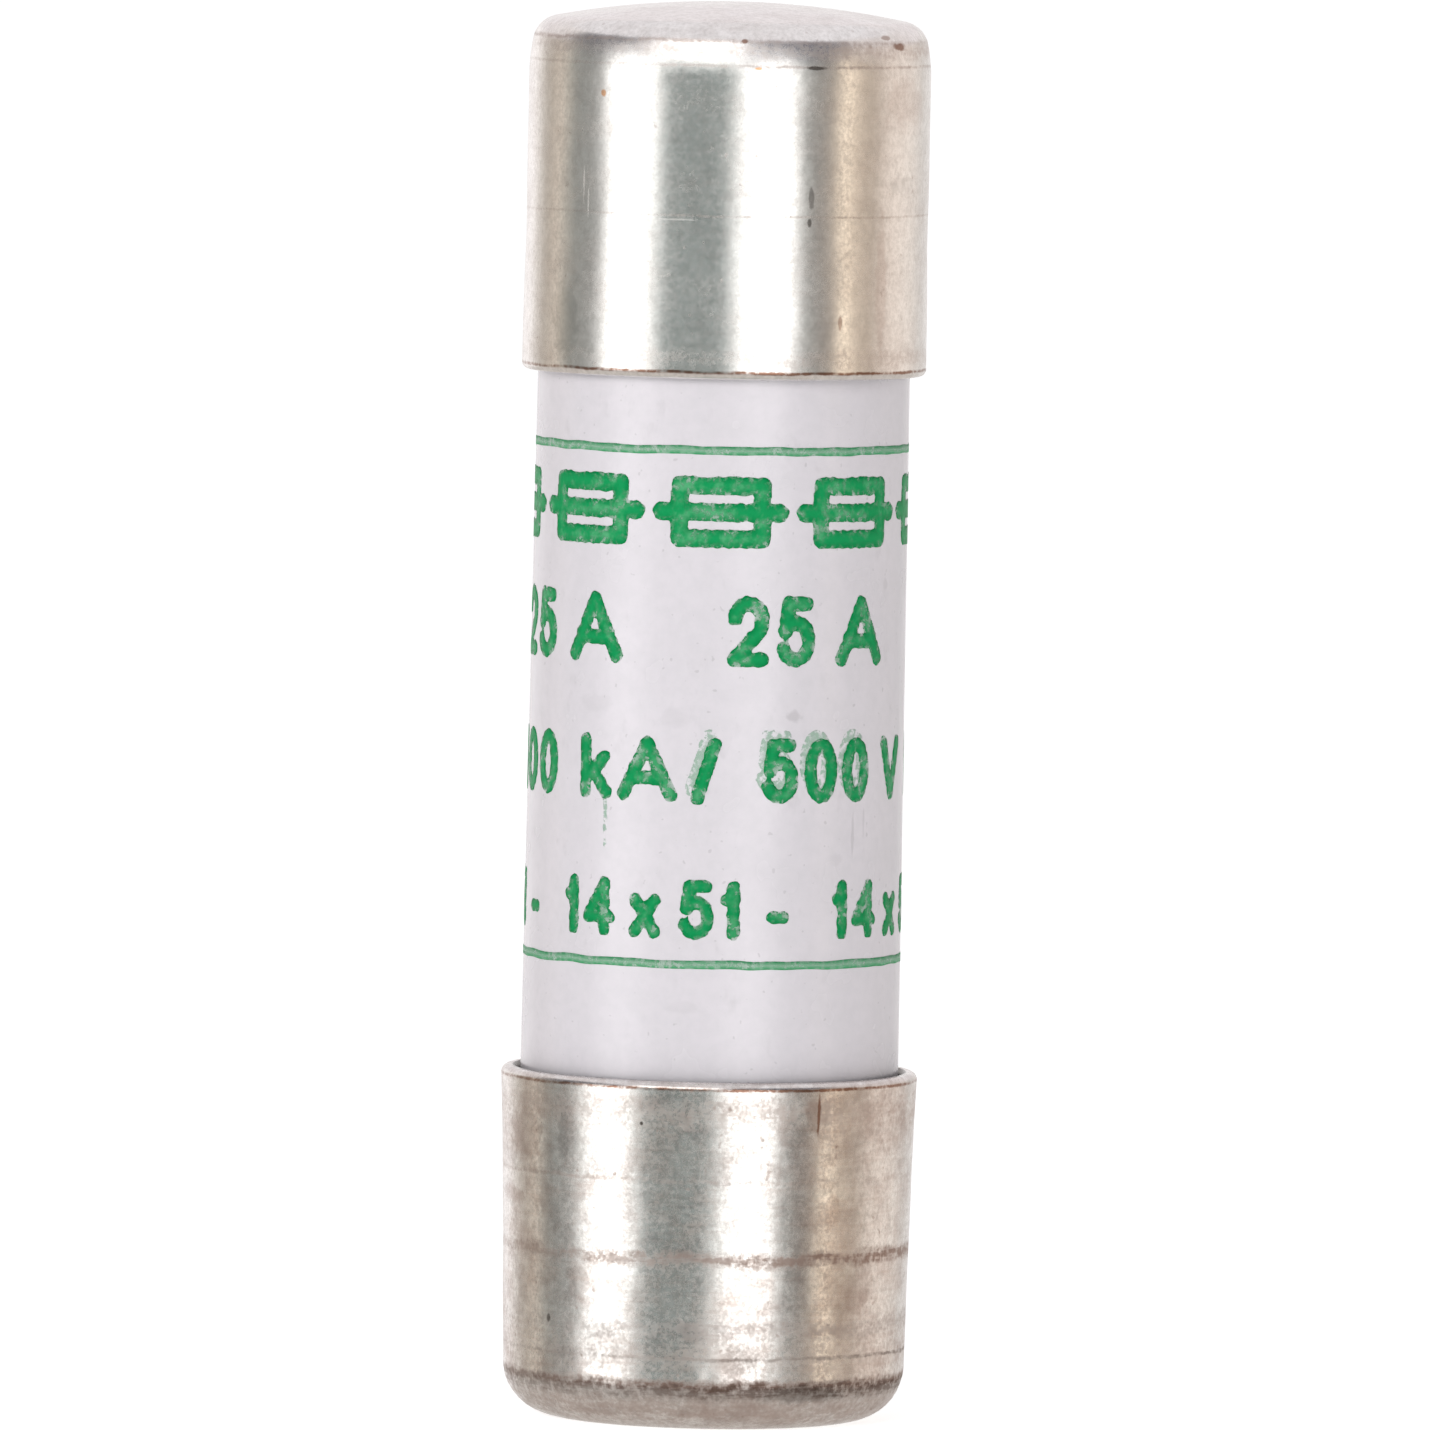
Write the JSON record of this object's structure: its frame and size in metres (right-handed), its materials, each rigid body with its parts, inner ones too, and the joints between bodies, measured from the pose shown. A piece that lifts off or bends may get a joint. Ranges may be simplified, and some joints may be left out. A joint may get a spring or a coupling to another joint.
{
  "type": "cartridge fuse",
  "caption": "Cylindrical cartridge fuse: ceramic tube with sand and notched strips inside, plated metal caps at the ends for spring clips, and green rating print.",
  "frame": {"origin": "middle of the lower end face, which the fuse stands on", "axes": "+Z along the fuse's axis towards the upper cap; the first fuse element lies on +X"},
  "size_m": [0.0146, 0.0146, 0.0503],
  "materials": {
    "ceramic": "satin",
    "silver_plate": "satin",
    "bare_brass": "satin",
    "fibre_board": "matte",
    "tin_solder": "satin",
    "sand": "matte",
    "element_strip": "satin"
  },
  "bodies": {
    "root": {"ceramic_tube": "ceramic", "outer_cap_top": "silver_plate", "outer_cap_bottom": "silver_plate", "inner_cap_top": "bare_brass", "inner_cap_bottom": "bare_brass", "sealing_washer_top": "fibre_board", "sealing_washer_bottom": "fibre_board", "filler_plug": "bare_brass", "solder_joint_top": "tin_solder", "solder_joint_bottom": "tin_solder", "quartz_sand": "sand", "fuse_element_1": "element_strip", "fuse_element_2": "element_strip", "fuse_element_3": "element_strip"}
  },
  "joints": []
}
